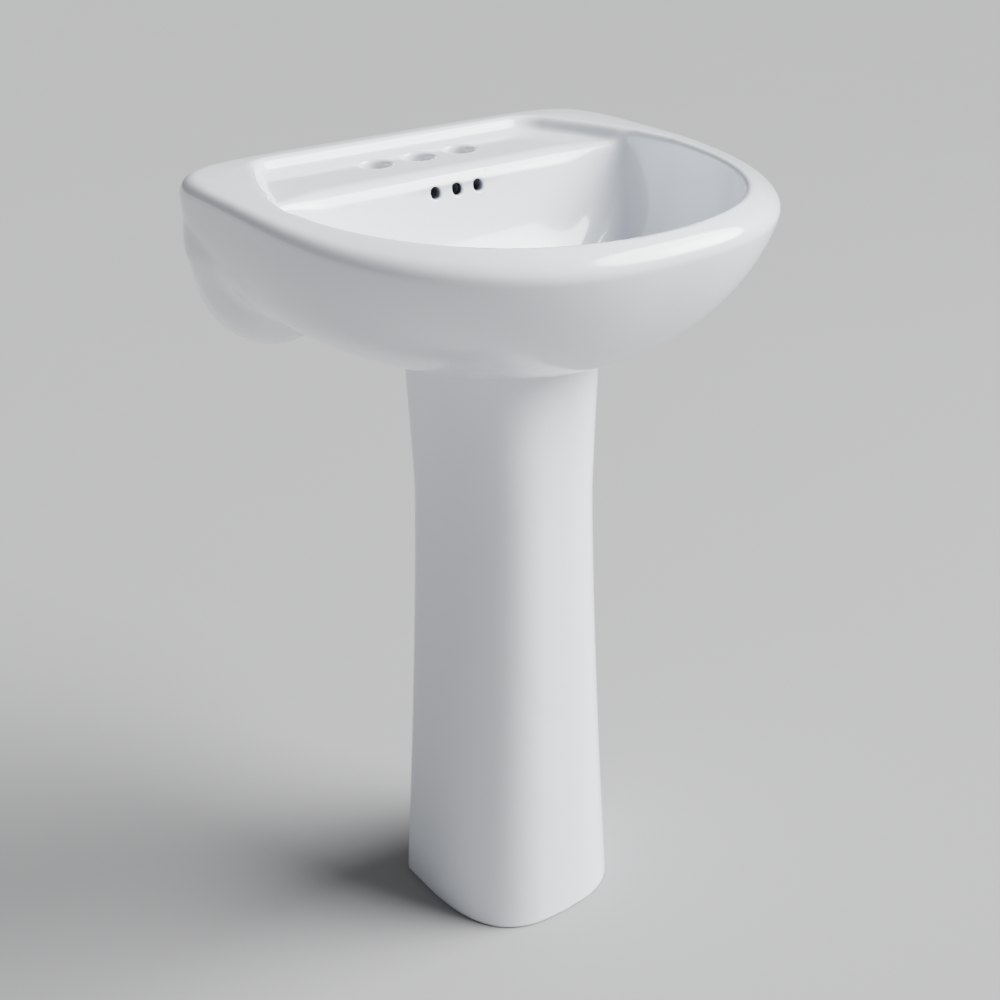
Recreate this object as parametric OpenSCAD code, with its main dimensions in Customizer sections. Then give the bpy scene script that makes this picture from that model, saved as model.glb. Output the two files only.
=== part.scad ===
// Pedestal sink: a vitreous china basin on a hollow china pedestal, with its
// push-type drain, its wall fixings and the cushion between basin and pedestal.
// Frame: X to the right, Y towards the wall, Z up, floor at z = 0, and the origin under the
// middle of the whole object. Inside the modules lengths run forward from the wall's face,
// and from_wall() puts each finished piece into the frame.

/* [Basin] */
// Overall width of the basin
basin_w = 505; // [480:5:520]
// Front edge of the rim, measured from the wall
basin_d = 468; // [450:2:480]
// Height of the rim above the floor
rim_z = 821; // [800:1:850]
// How far the rim's outer edge lies below its crown at the front
rim_dip = 15; // [8:1:18]
// Depth of the faucet deck below the rim
deck_drop = 13; // [8:1:16]
// Thickness of the china
china_t = 13; // [11:1:14]

/* [Bowl] */
// Width of the bowl's opening
bowl_w = 440; // [420:2:444]
// Front edge of the opening, measured from the wall
bowl_front = 443; // [430:1:446]
// Back edge of the opening, measured from the wall
bowl_back = 146; // [140:1:150]
// Depth of the bowl below the rim
bowl_depth = 143; // [135:1:145]
// Distance of the drain from the wall
drain_y = 245; // [240:1:250]

/* [Holes] */
// Distance between the outer faucet holes and the middle one
faucet_pitch = 50.8; // [50:0.1:52]
// Diameter of each faucet hole
faucet_d = 32; // [28:1:34]
// Distance of the faucet holes from the wall
faucet_y = 79; // [75:1:85]
// Diameter of each overflow hole
overflow_d = 12; // [10:0.5:13]
// Distance between overflow holes
overflow_pitch = 25.4; // [24:0.2:27]

/* [Wall fixings] */
// Distance between the two wall bolts
wall_pitch = 200; // [180:5:240]
// Height of the wall bolts above the floor
wall_bolt_z = 762; // [750:1:770]
// Thread diameter of the wall bolts
wall_bolt_d = 8; // [6:1:8]

/* [Pedestal] */
// Half width of the pedestal at the floor
foot_a = 106.4; // [102:0.2:110]
// Half width of the pedestal at its waist
waist_a = 80; // [78:0.5:84]
// Half width of the pedestal at its top
top_a = 89; // [86:0.5:92]
// Height of the waist
waist_z = 500; // [460:10:520]
// Distance of the pedestal's open back from the wall
ped_back = 166; // [160:1:170]
// Distance of the foot's front from the wall
foot_front = 343.7; // [336:0.1:350]
// Distance of the pedestal's top front from the wall
top_front = 311; // [306:1:316]
// Thickness of the pedestal's wall
ped_t = 11; // [10:0.5:12]

/* [Drain] */
// Travel of the push-type stopper
stopper_travel = 9; // [7:0.5:9]
// Outer diameter of the tailpiece
tail_d = 31.75; // [31.5:0.05:32]
// Height of the tailpiece's lower end above the floor
tail_end_z = 496; // [480:1:520]

/* [Hidden] */

china = [0.93, 0.94, 0.96];
chrome = [0.80, 0.81, 0.83];
brass = [0.79, 0.66, 0.38];
steel = [0.62, 0.63, 0.65];
rubber = [0.13, 0.13, 0.14];
nylon = [0.90, 0.90, 0.86];
fine = 72;                    // facets round a turned part
play = 0.05;                  // running clearance on a radius

outer_a = basin_w / 2;
outer_yc = -167.5;            // widest line of the basin
deck_z = rim_z - deck_drop;
bowl_z = rim_z - bowl_depth;  // bowl floor round the drain
under_z = bowl_z - 14;        // lowest point of the basin's belly
belly_y = -304;               // where that lowest point lies
bowl_yc = -183;               // widest line of the bowl
ped_top_z = 655;
cushion_t = 3;
landing_z = ped_top_z + cushion_t;
apron_low_z = 617;            // lower edge of the apron at the wall
apron_mid_z = 770;            // height at which the apron is widest
apron_a = 225;                // half width of the apron at the wall
wing_depth = 112;             // how far the apron's wings run forward
screw_len = 44;               // length of each wall bolt inside the wall
wall_y = (basin_d - screw_len) / 2;
bolt_hole_d = 13;
seat_back = 196;              // where cushion and landing ring end towards the wall
overflow_drop = 19;           // overflow holes below the deck
duct_a = 34;                  // half width of the overflow duct
duct_near = 9;                // duct's walls, measured out from the bowl's surface
duct_far = 21;
duct_skin = 9;                // china round the duct
hollow_low_z = 577;           // the space under the deck is open below this height
hollow_a = 140;               // half width of its open middle part
lug_x = 68;                   // floor lugs inside the pedestal's foot
lug_y = -194;
lug_t = 14;
lug_r = 18;
lug_hole_d = 14;
gap_a = 58;                   // half width of the pedestal's open back

// Drain: heights, and radii round its axis
boss_low = 640;
boss_d = 76;
drain_hole_d = 45;
flange_z = bowl_z;
flange_top = flange_z + 3;
body_r = 20.7;
body_in = 17;
body_low = 600;
spider_z = 632;
spider_h = 8;
barrel_r = 8;
barrel_low = 630;
barrel_top = 668;
plunger_r = 5.45;
plunger_low = 655;
pin_low = 680;
pin_top = 690;
spring_low = 634;
nut_low = 616;
friction_t = 2;
gasket_low = nut_low + 12;
tail_top = 612;
tail_flange_z = 598;
cap_low = flange_top + 2.3 + stopper_travel;
module from_wall() {
    translate([0, wall_y, 0]) children();
}

// Signed power, the building block of every rounded outline.
function spow(v, e) = sign(v) * pow(abs(v), e);
function ease(v) = let (u = min(1, max(0, v))) u * u * (3 - 2 * u);
function mix(a, b, w) = a + (b - a) * w;

// A closed outline with one roundness at the front and another at the back; t = 0 is the front.
function outline(t, a, yc, front, back, n, m) =
    let (fwd = cos(t) >= 0, e = 2 / (fwd ? n : m), run = fwd ? yc + front : -back - yc)
    [a * spow(sin(t), e), yc - run * spow(cos(t), e)];

// Joins stacked rings of points into one closed solid with a fan of faces at either end.
// Each ring runs anticlockwise as seen from in front of the first one.
function middle(ring) = [for (a = [0:2]) [for (p = ring) p[a]] * [for (p = ring) 1] / len(ring)];
module skin(rings) {
    n = len(rings[0]);
    m = len(rings);
    polyhedron(
        points = concat([for (r = rings) for (p = r) p], [middle(rings[0]), middle(rings[m - 1])]),
        faces = concat(
            [for (i = [0:n - 1]) [(i + 1) % n, i, m * n]],
            [for (k = [0:m - 2]) for (i = [0:n - 1]) [k * n + i, k * n + (i + 1) % n, (k + 1) * n + i]],
            [for (k = [0:m - 2]) for (i = [0:n - 1])
                [k * n + (i + 1) % n, (k + 1) * n + (i + 1) % n, (k + 1) * n + i]],
            [for (i = [0:n - 1]) [(m - 1) * n + i, (m - 1) * n + (i + 1) % n, m * n + 1]]));
}

// ---- basin: outer form ----
around = [for (i = [0:63]) i * 360 / 64];
function outer_xy(t) = outline(t, outer_a, outer_yc, basin_d, 0, 2.49, 6.2);
function frontness(y) = ease((-y - 150) / 318);

// A point of the belly: s runs from 1 at the rim's edge to 0 at the lowest point.
function belly_pt(t, s) =
    let (o = outer_xy(t), f = frontness(o[1]), corner = ease((o[1] + 150) / 110),
         edge_z = rim_z - 3 - (rim_dip - 3) * f,
         p = mix(mix(2.75, 2.5, f), 2.0, corner), q = mix(mix(3.3, 1.37, f), 3.0, corner))
    [o[0] * s, belly_y + (o[1] - belly_y) * s,
     edge_z - (edge_z - under_z) * pow(1 - pow(s, p), 1 / q)];

belly_steps = [for (k = [0:12]) pow(cos(k * 88 / 12), 0.75)];
module outer_form() {
    crown = [for (t = around) let (o = outer_xy(t)) [o[0] * 0.90, outer_yc + (o[1] - outer_yc) * 0.90, rim_z]];
    shoulder = [for (t = around) let (o = outer_xy(t), e = belly_pt(t, 1))
        [o[0] * 0.965, outer_yc + (o[1] - outer_yc) * 0.965, mix(e[2], rim_z, 0.75)]];
    skin(concat([crown, shoulder], [for (s = belly_steps) [for (t = around) belly_pt(t, s)]]));
}

// ---- basin: apron against the wall, with its two wings ----
// Outline of the apron: u = 0 is its right side, 90 its lower edge and 270 its top.
flat_low = 17;                // how much of the apron's rounded lower end is cut flat
function apron_xz(u, a, top, low) =
    let (up = sin(u) < 0, h = up ? top - apron_mid_z : apron_mid_z - low, e = up ? 2 / 5.5 : 2 / 3)
    [a * spow(cos(u), e), apron_mid_z - h * spow(sin(u), e)];
function wing_a(f) = apron_a + 40 * f - 62 * pow(f, 2.5);
function wing_low(f) = apron_low_z - flat_low + 62 * pow(f, 1.3) + 36 * pow(f, 6);
function wing_pt(u, v) =
    let (f = v / wing_depth, c = apron_xz(u, wing_a(f), rim_z - 4 - 9 * f, wing_low(f)))
    [c[0], -v, max(c[1], wing_low(f) + flat_low * (1 - f))];
// The same outline one wall's thickness inside, for the hollow of the wing.
function pocket_pt(u, v) =
    let (f = v / wing_depth, c = apron_xz(u, wing_a(f) - china_t, rim_z - 6, wing_low(f) + china_t))
    [c[0], -v, c[1]];
module apron_form() {
    skin([for (k = [0:8]) [for (i = [0:47]) wing_pt(i * 360 / 48, wing_depth * k / 8)]]);
}

// ---- basin: bowl, as a solid to take away or to leave standing ----
function bowl_xy(t, grow) =
    outline(t, bowl_w / 2 + grow, bowl_yc, bowl_front + grow, bowl_back - grow, 2.29, 6);
// s runs from 1 at the opening's edge to 0 at the drain.
function bowl_pt(t, s, grow) =
    let (o = bowl_xy(t, grow), f = frontness(o[1]), b = ease((o[1] + 200) / 40),
         edge_z = mix(rim_z, deck_z, b), low = bowl_z - grow,
         p = mix(mix(4, 3.4, f), 2.2, b), q = mix(mix(3, 2, f), 1.6, b))
    [o[0] * s, -drain_y + (o[1] + drain_y) * s, edge_z - (edge_z - low) * pow(1 - pow(s, p), 1 / q)];
bowl_steps = [for (k = [0:12]) pow(cos(k * 88 / 12), 0.75)];
module bowl_form(grow) {
    lid = [for (t = around) let (o = bowl_xy(t, grow)) [o[0], o[1], rim_z + 14]];
    skin(concat([lid], [for (s = bowl_steps) [for (t = around) bowl_pt(t, s, grow)]]));
}

// Section through the overflow duct, between two offsets of the bowl's back wall.
duct_steps = [for (k = [0:10]) pow(cos(k * 9), 0.75)];
function duct_line(grow, low_s) =
    [for (s = duct_steps) if (s >= low_s) let (p = bowl_pt(180, s, grow)) [p[1], p[2]]];
module duct(inner, outer, half_w, top_z) {
    rotate([90, 0, 90]) translate([0, 0, -half_w]) linear_extrude(2 * half_w) intersection() {
        difference() {
            polygon(concat([[-drain_y, top_z], [-bowl_back + outer, top_z]], duct_line(outer, 0)));
            if (inner > 0)
                polygon(concat([[-drain_y, top_z + 30], [-bowl_back + inner, top_z + 30]],
                    duct_line(inner, 0)));
        }
        translate([-drain_y, 0]) square([drain_y, top_z]);
    }
}

// The sunk deck: its right-hand outline from the back corner forward, and walls that lean out.
deck_side = [[147, -46], [156, -48], [163, -55], [186, -99], [201, -142], [213, -195], [150, -250]];
function deck_ring(z, out) = concat(
    [for (i = [len(deck_side) - 1:-1:0]) [deck_side[i][0] + out, deck_side[i][1] + out, z]],
    [for (p = deck_side) [-p[0] - out, p[1] + out, z]]);
module deck_recess() {
    lean = 7;                 // how much wider the recess is at the rim than at its floor
    skin([deck_ring(rim_z + 4, lean * 1.3), deck_ring(deck_z, 0)]);
}

// Open space behind the bowl and under the deck, between the wings.
module under_deck() {
    half = [[206, -china_t], [206, -42], [172, -78], [130, -104], [95, -130], [92, -180], [60, -215]];
    difference() {
        intersection() {
            translate([0, 0, hollow_low_z]) linear_extrude(deck_z - 14 - hollow_low_z)
                polygon(concat(half, [for (i = [len(half) - 1:-1:0]) [-half[i][0], half[i][1]]]));
            union() {
                skin([for (k = [0:8]) [for (i = [0:47])
                    pocket_pt(i * 360 / 48, mix(china_t, wing_depth, k / 8))]]);
                translate([-hollow_a, -260, 0]) cube([2 * hollow_a, 260 - china_t, apron_mid_z]);
            }
        }
        bowl_form(china_t);
        duct(0, duct_far + duct_skin + 1, duct_a + duct_skin + 1, deck_z - 10);
    }
}

module faucet_hole(x) {
    translate([x, -faucet_y, deck_z - 30]) cylinder(h = 60, d = faucet_d, $fn = fine);
    translate([x, -faucet_y, deck_z - 2]) cylinder(h = 2.01, d1 = faucet_d, d2 = faucet_d + 5, $fn = fine);
}

module basin() {
    color(china) from_wall() difference() {
        union() {
            outer_form();
            apron_form();
            translate([0, 0, landing_z]) linear_extrude(18) seat_outline(0);
            translate([0, -drain_y, boss_low]) cylinder(h = bowl_z - 4 - boss_low, d = boss_d, $fn = fine);
            duct(0, duct_far + duct_skin, duct_a + duct_skin, deck_z - 10);
        }
        bowl_form(0);
        deck_recess();
        under_deck();
        duct(duct_near, duct_far, duct_a, deck_z - 11);
        for (i = [-1:1]) faucet_hole(i * faucet_pitch);
        for (i = [-1:1])
            translate([i * overflow_pitch, -bowl_back + 12, deck_z - overflow_drop])
                rotate([90, 0, 0]) cylinder(h = 40, d = overflow_d, $fn = fine);
        translate([0, -drain_y, body_low]) cylinder(h = 120, d = drain_hole_d, $fn = fine);
        translate([0, -drain_y, bowl_z - 2]) cylinder(h = 30, d = 68, $fn = fine);
        for (x = [-1, 1])
            translate([x * wall_pitch / 2, 20, wall_bolt_z])
                rotate([90, 0, 0]) cylinder(h = 60, d = bolt_hole_d, $fn = fine);
    }
}

// ---- pedestal ----
function ped_a(z) = z < waist_z
    ? waist_a + (foot_a - waist_a) * pow((waist_z - z) / waist_z, 1.35)
    : waist_a + (top_a - waist_a) * pow((z - waist_z) / (ped_top_z - waist_z), 1.2);
function ped_front(z) = top_front + (foot_front - top_front) * pow(max(0, 1 - z / ped_top_z), 1.3);
function ped_xy(t, z, inset) =
    outline(t, ped_a(z) - inset, -ped_back - 40, ped_front(z) - inset, ped_back + inset, 2.8, 8);
module ped_wall(z, inset_a, inset_b) {
    difference() {
        polygon([for (t = around) ped_xy(t, z, inset_a)]);
        polygon([for (t = around) ped_xy(t, z, inset_b)]);
    }
}
// Footprint of what rests on the pedestal's top edge.
module seat_outline(inset) {
    intersection() {
        ped_wall(ped_top_z, inset, ped_t - inset);
        translate([-foot_a, -foot_front]) square([2 * foot_a, foot_front - seat_back]);
    }
}
module ped_form(inset, low, high) {
    steps = [for (k = [0:14]) mix(high, low, k / 14)];
    skin([for (z = steps)
        [for (t = around) let (p = ped_xy(t, min(ped_top_z, max(0, z)), inset)) [p[0], p[1], z]]]);
}
module pedestal() {
    color(china) from_wall() difference() {
        union() {
            difference() {
                ped_form(0, 0, ped_top_z);
                ped_form(ped_t, -5, ped_top_z + 5);
                translate([-gap_a, -ped_back - 30, -5]) cube([2 * gap_a, 60, ped_top_z + 10]);
            }
            for (x = [-1, 1]) translate([x * lug_x, lug_y, 0]) {
                cylinder(h = lug_t, r = lug_r, $fn = fine);
                translate([x > 0 ? 0 : -30, -lug_r, 0]) cube([30, 2 * lug_r, lug_t]);
            }
        }
        for (x = [-1, 1])
            translate([x * lug_x, lug_y, -5]) cylinder(h = 30, d = lug_hole_d, $fn = fine);
    }
}
module seat_cushion() {
    color(rubber) from_wall() translate([0, 0, ped_top_z]) linear_extrude(cushion_t) seat_outline(1);
}
module floor_bushes() {
    color(nylon) from_wall() for (x = [-1, 1]) translate([x * lug_x, lug_y, 0]) difference() {
        union() {
            cylinder(h = lug_t, d = lug_hole_d - 0.2, $fn = fine);
            translate([0, 0, lug_t]) cylinder(h = 2.5, d = 26, $fn = fine);
        }
        translate([0, 0, -5]) cylinder(h = 30, d = 9, $fn = fine);
    }
}

// ---- drain, all on one upright axis ----
module on_drain(z) {
    translate([0, wall_y - drain_y, z]) children();
}

module drain_body() {
    color(chrome) on_drain(0) difference() {
        union() {
            rotate_extrude($fn = fine) polygon([
                [body_in, body_low], [body_r, body_low], [body_r, flange_z], [31, flange_z],
                [32, flange_z + 1], [31.2, flange_z + 2], [29.5, flange_top], [22, flange_top],
                [body_in, flange_top - 5]]);
            for (a = [0:120:240]) rotate(a) translate([9, -1.5, spider_z]) cube([9.5, 3, spider_h]);
            translate([0, 0, spider_z]) cylinder(h = spider_h, r = barrel_r + 3, $fn = fine);
        }
        translate([0, 0, spider_z - 5]) cylinder(h = 20, r = barrel_r, $fn = fine);
        for (a = [90, 270]) rotate(a) translate([10, -7, 656]) cube([15, 14, 12]);
    }
}
module ring(z, h, r_out, r_in) {
    on_drain(z) difference() {
        cylinder(h = h, r = r_out, $fn = fine);
        translate([0, 0, -1]) cylinder(h = h + 2, r = r_in, $fn = fine);
    }
}
module flange_gasket() {
    color(rubber) ring(bowl_z - 2, 2, 30, body_r + 0.2);
}
module body_gasket() {
    color(rubber) on_drain(0) rotate_extrude($fn = fine) polygon([
        [body_r, gasket_low], [29, gasket_low], [29, gasket_low + 8], [26.5, boss_low], [22.3, boss_low],
        [21.8, boss_low + 5], [body_r, boss_low + 5]]);
}
module friction_washer() {
    color(nylon) ring(gasket_low - friction_t, friction_t, 29, body_r + 0.3);
}
module lock_nut() {
    color(brass) on_drain(nut_low) difference() {
        union() {
            cylinder(h = 8, d = 58, $fn = 6);
            translate([0, 0, 8]) cylinder(h = 2, r = 27, $fn = fine);
        }
        translate([0, 0, -1]) cylinder(h = 12, r = body_r, $fn = fine);
    }
}
module tailpiece_washer() {
    color(rubber) ring(tail_flange_z, body_low - tail_flange_z, 20, body_in);
}
module tailpiece() {
    wall = 1.3;
    color(chrome) on_drain(0) rotate_extrude($fn = fine) polygon([
        [tail_d / 2 - wall, tail_end_z], [tail_d / 2, tail_end_z], [tail_d / 2, tail_flange_z - 6],
        [20, tail_flange_z - 4], [20, tail_flange_z], [body_in, tail_flange_z], [body_in, tail_top],
        [tail_d / 2 - wall, tail_top]]);
}
module stopper_barrel() {
    color(brass) on_drain(0) rotate_extrude($fn = fine) polygon([
        [0, barrel_low], [barrel_r, barrel_low], [barrel_r, 660], [9, 661], [9, barrel_top],
        [plunger_r + play, barrel_top], [plunger_r + play, spring_low], [0, spring_low]]);
}
module stopper_spring() {
    coils = 5;
    r = 3.9;
    wire = 0.55;
    len_z = plunger_low - spring_low - 2 * wire;
    steps = coils * 20;
    ring_n = 8;
    color(steel) on_drain(spring_low + wire) skin([for (k = [0:steps])
        let (a = k * 360 / 20, z = len_z * (steps - k) / steps)
        [for (j = [0:ring_n - 1]) let (b = j * 360 / ring_n, rr = r + wire * cos(b))
            [rr * cos(a), rr * sin(a), z + wire * sin(b)]]]);
}
module stopper_plunger() {
    color(brass) on_drain(0) rotate_extrude($fn = fine) polygon([
        [0, plunger_low], [plunger_r, plunger_low], [plunger_r, pin_low], [3, pin_low], [3, pin_top],
        [0, pin_top]]);
}
module stopper_seal() {
    color(rubber) ring(cap_low - 2, 2, 26, 18);
}
module stopper_cap() {
    color(chrome) on_drain(0) rotate_extrude($fn = fine) polygon(concat(
        [[0, pin_top], [3, pin_top], [3, pin_low], [8, pin_low], [8, pin_low + 6], [14, cap_low],
         [29, cap_low], [30, cap_low + 1.2]],
        [for (k = [0:8]) let (a = k * 90 / 8) [29.8 * cos(a), cap_low + 2 + 4.5 * sin(a)]]));
}

// ---- wall fixings ----
module at_wall_bolts(y) {
    for (x = [-1, 1])
        translate([x * wall_pitch / 2, wall_y + y, wall_bolt_z]) rotate([90, 0, 0]) children();
}
module wall_washer(y, t, d) {
    at_wall_bolts(y) difference() {
        cylinder(h = t, d = d, $fn = fine);
        translate([0, 0, -1]) cylinder(h = t + 2, d = wall_bolt_d + 0.6, $fn = fine);
    }
}
module wall_bolts() {
    color(steel) at_wall_bolts(0) {
        translate([0, 0, -screw_len]) cylinder(h = 10, d1 = 1, d2 = wall_bolt_d, $fn = fine);
        translate([0, 0, 10 - screw_len]) cylinder(h = screw_len - 11, d = wall_bolt_d, $fn = fine);
        translate([0, 0, -1]) cylinder(h = 13, d = wall_bolt_d - 1, $fn = fine);
        translate([0, 0, 12]) cylinder(h = 12, d = wall_bolt_d - 0.1, $fn = fine);
    }
}
module wall_rubber_washers() {
    color(rubber) wall_washer(-china_t, 3, 30);
}
module wall_steel_washers() {
    color(steel) wall_washer(-china_t - 3, 1.6, 24);
}
module wall_nuts() {
    color(steel) at_wall_bolts(-china_t - 4.6) difference() {
        cylinder(h = 6.8, d = 15, $fn = 6);
        translate([0, 0, -1]) cylinder(h = 9, d = wall_bolt_d, $fn = fine);
    }
}

basin();
pedestal();
seat_cushion();
drain_body();
flange_gasket();
body_gasket();
friction_washer();
lock_nut();
tailpiece();
tailpiece_washer();
stopper_barrel();
stopper_spring();
stopper_plunger();
stopper_seal();
stopper_cap();
wall_bolts();
wall_rubber_washers();
wall_steel_washers();
wall_nuts();
floor_bushes();
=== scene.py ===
import math

import bmesh
import bpy
import numpy as np
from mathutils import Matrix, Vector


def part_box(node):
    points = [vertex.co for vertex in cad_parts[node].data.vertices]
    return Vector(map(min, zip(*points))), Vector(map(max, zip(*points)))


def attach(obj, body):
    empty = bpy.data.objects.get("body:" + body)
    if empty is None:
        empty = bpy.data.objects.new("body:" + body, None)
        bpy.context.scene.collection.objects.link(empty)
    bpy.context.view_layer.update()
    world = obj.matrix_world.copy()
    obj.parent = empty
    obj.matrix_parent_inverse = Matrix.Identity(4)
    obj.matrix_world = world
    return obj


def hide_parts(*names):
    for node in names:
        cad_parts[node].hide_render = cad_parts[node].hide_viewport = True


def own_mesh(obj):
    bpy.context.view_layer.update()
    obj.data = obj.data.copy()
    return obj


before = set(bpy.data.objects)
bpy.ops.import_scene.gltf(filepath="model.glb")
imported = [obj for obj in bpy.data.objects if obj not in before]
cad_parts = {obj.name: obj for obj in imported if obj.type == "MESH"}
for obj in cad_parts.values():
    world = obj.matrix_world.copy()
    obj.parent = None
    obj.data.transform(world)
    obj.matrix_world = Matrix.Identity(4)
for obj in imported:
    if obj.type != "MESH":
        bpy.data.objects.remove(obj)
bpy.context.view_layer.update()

import openvdb
from bpy.props import FloatProperty, FloatVectorProperty, PointerProperty
from mathutils import Vector

bl_info = {
    "name": "Pedestal sink",
    "version": (1, 0, 0),
    "blender": (4, 5, 0),
    "location": "View3D > Sidebar > Sink",
    "description": "Builds a glazed china pedestal sink, its drain and its fixings round the fixed frame",
    "category": "Object",
}

# Places and sizes from the frame, in millimetres. Forms are worked out in x, in v, the distance
# forward from the wall's face, and in z, the height above the floor.
MM = 1000.0
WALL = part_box("basin")[1].y * MM


def node_span(node, axis):
    """The lowest and highest place of a node along one axis, in millimetres."""
    low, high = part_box(node)
    return low[axis] * MM, high[axis] * MM


RIM = node_span("basin", 2)[1]
WIDTH = 2 * node_span("basin", 0)[1]
DEPTH = WALL - node_span("basin", 1)[0]
SEAT = node_span("flange_gasket", 2)[0] + 2        # china under the drain flange, in the bowl
DRAIN = WALL - sum(node_span("drain_body", 1)) / 2   # the drain's distance from the wall
PEDESTAL_TOP = node_span("pedestal", 2)[1]
PEDESTAL_BACK = WALL - node_span("pedestal", 1)[1]
FOOT_FRONT = WALL - node_span("pedestal", 1)[0]
FOOT_HALF = node_span("pedestal", 0)[1]


class SINK_PG_china(bpy.types.PropertyGroup):
    """Sizes of the china, in millimetres."""
    wall: FloatProperty(name="China", description="Thickness of the china", default=13, min=8, max=18)
    rim_dip: FloatProperty(name="Rim dip", description="Drop of the rim's outer edge at the front",
                           default=15, min=5, max=25)
    rim_round: FloatProperty(name="Rim rounding", description="Softness of the rim's outer edge",
                             default=12, min=2, max=16)
    lip_round: FloatProperty(name="Lip rounding", description="Softness of the bowl's edge",
                             default=7, min=2, max=12)
    deck_drop: FloatProperty(name="Deck drop", description="Depth of the deck below the rim",
                             default=13, min=4, max=18)
    faucet_pitch: FloatProperty(name="Faucet pitch", description="Distance between faucet holes",
                                default=50.8, min=45, max=60)
    faucet_line: FloatProperty(name="Faucet line", description="Distance of the faucet holes from the wall",
                               default=79, min=70, max=90)
    overflow_pitch: FloatProperty(name="Overflow pitch", description="Distance between overflow holes",
                                  default=25.4, min=20, max=30)
    cell: FloatProperty(name="Cell", description="Usual size of the mesh's faces", default=4.4, min=2, max=8)


class SINK_PG_finish(bpy.types.PropertyGroup):
    """Colours of the materials."""
    glaze: FloatVectorProperty(name="Glaze", description="Colour of the glazed china", subtype="COLOR",
                               default=(0.87, 0.90, 0.955), min=0, max=1)
    clay: FloatVectorProperty(name="Bare clay", description="Colour of the unglazed edges", subtype="COLOR",
                              default=(0.66, 0.63, 0.58), min=0, max=1)
    # painted shade: this near-black colour stands for the shade inside the overflow duct
    duct: FloatVectorProperty(name="Duct", description="Colour inside the overflow duct", subtype="COLOR",
                              default=(0.035, 0.04, 0.055), min=0, max=1)
    chrome: FloatVectorProperty(name="Chrome", description="Colour of the chrome plate", subtype="COLOR",
                                default=(0.80, 0.81, 0.83), min=0, max=1)
    brass: FloatVectorProperty(name="Brass", description="Colour of the bare brass", subtype="COLOR",
                               default=(0.74, 0.56, 0.26), min=0, max=1)
    steel: FloatVectorProperty(name="Steel", description="Colour of the zinc plated steel", subtype="COLOR",
                               default=(0.60, 0.62, 0.65), min=0, max=1)
    rubber: FloatVectorProperty(name="Rubber", description="Colour of the rubber", subtype="COLOR",
                                default=(0.022, 0.022, 0.024), min=0, max=1)
    nylon: FloatVectorProperty(name="Nylon", description="Colour of the nylon", subtype="COLOR",
                               default=(0.80, 0.79, 0.73), min=0, max=1)


class SINK_PG_stage(bpy.types.PropertyGroup):
    """Light, floor and camera."""
    floor: FloatVectorProperty(name="Floor", description="Colour of the floor", subtype="COLOR",
                               default=(0.33, 0.33, 0.335), min=0, max=1)
    sky: FloatProperty(name="Sky", description="Strength of the even light", default=0.23, min=0, max=3)
    key: FloatProperty(name="Key light", description="Strength of the wide light from the right front",
                       default=11.5, min=0, max=20)
    window: FloatProperty(name="Window light", description="Power of the lamp that gives the glaze its shine",
                          default=50, min=0, max=500, subtype="POWER")


# ---- small functions on numbers and arrays ----

def signed_power(value, exponent):
    return np.sign(value) * np.abs(value) ** exponent


def ease(value):
    value = np.clip(value, 0.0, 1.0)
    return value * value * (3 - 2 * value)


def mix(a, b, share):
    return a + (b - a) * share


def soft_min(a, b, k):
    """The lesser of two fields, with the corner between them rounded over about k."""
    share = np.clip(0.5 + 0.5 * (b - a) / k, 0, 1)
    return mix(b, a, share) - k * share * (1 - share)


def soft_max(a, b, k):
    return -soft_min(-a, -b, k)


# ---- forms as fields: below zero inside the material, in millimetres near its surface ----

def distance(level, x, v, z, axes, upright=False):
    """Turns a level function into a field that measures distance near its surface.

    upright measures within upright planes parallel to the wall only.
    """
    value = level(x, v, z)
    if axes is not None:
        slopes = np.gradient(value, *axes)
    else:
        h = 0.4
        slopes = ((level(x + h, v, z) - level(x - h, v, z)) / (2 * h),
                  (level(x, v + h, z) - level(x, v - h, z)) / (2 * h),
                  (level(x, v, z + h) - level(x, v, z - h)) / (2 * h))
    if upright:
        slopes = (slopes[0], slopes[2])
    return value / np.maximum(np.sqrt(sum(s * s for s in slopes)), 2e-3)


class Loft:
    """A dish: rings of one closed outline that shrink towards a centre as they go down."""

    def __init__(self, half, widest, front, back, front_n, back_n, centre, low, edge, power, fall, pinch=0):
        # close steps where the outline turns fastest, at the ends of each quarter
        u = np.linspace(0, 1, 1501)
        quarter = u ** 3 / (u ** 3 + (1 - u) ** 3) * math.pi / 2
        t = np.concatenate((quarter, math.pi / 2 + quarter[1:]))
        ahead = t < math.pi / 2
        e = np.where(ahead, 2 / front_n, 2 / back_n)
        run = np.where(ahead, front - widest, widest - back)
        v = widest + run * signed_power(np.cos(t), e)
        x = np.maximum(half * np.abs(np.sin(t)) ** e - pinch * ease((215 - v) / 70), 0)
        angle = np.arctan2(x, v - centre)
        order = np.argsort(angle, kind="stable")
        self.centre, self.low, self.angle = centre, low, angle[order]
        self.radius = np.hypot(x, v - centre)[order]
        self.edge, self.power, self.fall = (f(v)[order] for f in (edge, power, fall))

    def place(self, x, v):
        """How far out a point lies, 1 on the outline, and its direction from the centre."""
        angle = np.arctan2(np.abs(x), v - self.centre)
        return np.hypot(x, v - self.centre) / np.interp(angle, self.angle, self.radius), angle

    def level(self, x, v, z):
        out, angle = self.place(x, v)
        edge, power, fall = (np.interp(angle, self.angle, t) for t in (self.edge, self.power, self.fall))
        down = np.clip((edge - z) / (edge - self.low), 0, None)
        return (out ** power + down ** fall) ** (1 / power) - 1


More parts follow.
